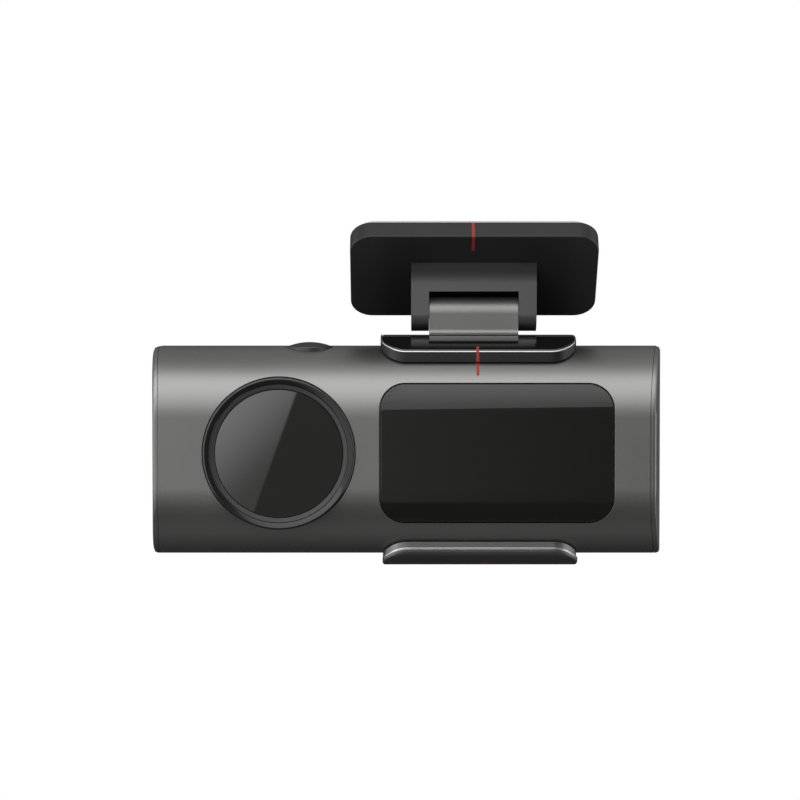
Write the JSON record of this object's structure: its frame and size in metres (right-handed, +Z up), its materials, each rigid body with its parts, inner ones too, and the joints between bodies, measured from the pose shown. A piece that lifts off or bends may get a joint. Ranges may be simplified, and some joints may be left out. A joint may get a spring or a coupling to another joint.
{
  "type": "dash camera",
  "caption": "Bar-shaped dash camera with a round cabin window, a curved screen and a tilting windscreen bracket.",
  "frame": {"origin": "middle of the adhesive pad's outer face, where the bracket meets the windscreen", "axes": "+Z up, -Y towards the driver, +X to the driver's right as they face the camera; the pad's face slopes 43 degrees from the horizontal"},
  "size_m": [0.1108, 0.0438, 0.0749],
  "materials": {
    "gunmetal": "satin metallic lacquer over moulded plastic",
    "dark_metal": "dark satin metallic lacquer",
    "black_gloss": "piano black",
    "black_plastic": "fine satin moulding",
    "smoked_glass": "polished, smoked",
    "lens_glass": "coated lens",
    "steel": "plain",
    "adhesive": "acrylic foam tape",
    "board_green": "solder mask",
    "ribbon_amber": "polyimide film",
    "aluminium": "plain"
  },
  "bodies": {
    "mount": {"adhesive_pad": "adhesive", "mount_plate": "black_plastic", "hinge_bracket": "black_plastic", "bracket_screw_left": "steel", "bracket_screw_right": "steel", "hinge_pin": "steel", "friction_washer_left": "steel", "friction_washer_right": "steel"},
    "camera": {"arm_screw_left": "steel", "arm_screw_right": "steel", "button_switch": "black_plastic", "cabin_image_board": "board_green", "cabin_lens": "lens_glass", "cabin_lens_barrel": "black_plastic", "card_holder": "steel", "case_screw_1": "steel", "case_screw_2": "steel", "case_screw_3": "steel", "case_screw_4": "steel", "display_panel": "black_plastic", "display_ribbon": "ribbon_amber", "display_tray": "steel", "driver_side_shell": "gunmetal", "heat_spreader": "aluminium", "left_end_cap": "gunmetal", "lower_boss": "gunmetal", "lower_boss_cover": "dark_metal", "main_board": "board_green", "microphone": "steel", "mount_arm": "gunmetal", "night_lamp_1": "lens_glass", "night_lamp_2": "lens_glass", "night_lamp_3": "lens_glass", "night_lamp_4": "lens_glass", "night_lamp_board": "board_green", "power_socket": "steel", "processor_shield": "steel", "right_end_cap": "gunmetal", "road_front_lens": "lens_glass", "road_image_board": "board_green", "road_lens_barrel": "black_plastic", "road_lens_cone": "black_plastic", "road_lens_housing": "gunmetal", "road_side_shell": "gunmetal", "screen_glass": "smoked_glass", "speaker": "black_plastic", "supercapacitor_lower": "dark_metal", "supercapacitor_upper": "dark_metal", "upper_boss": "gunmetal", "upper_boss_cover": "black_gloss", "window_glass": "smoked_glass", "window_inner_ring": "dark_metal", "window_ring": "black_gloss"},
    "button": {"power_button": "dark_metal"},
    "card": {"memory_card": "black_plastic"}
  },
  "joints": [
    {"name": "mount_tilt", "type": "hinge", "parent": "mount", "child": "camera", "pos_m": [0, -0.00162, -0.01219], "axis": [1, 0, 0], "range_deg": [-50, 25]},
    {"name": "power_button_press", "type": "slide", "parent": "camera", "child": "button", "axis": [0, 0, -1], "range_m": [0, 0.0006], "stiffness_N_per_m": 2500, "springref_m": -0.0002},
    {"name": "memory_card_slide", "type": "slide", "parent": "camera", "child": "card", "axis": [1, 0, 0], "range_m": [-0.0006, 0.004]}
  ]
}
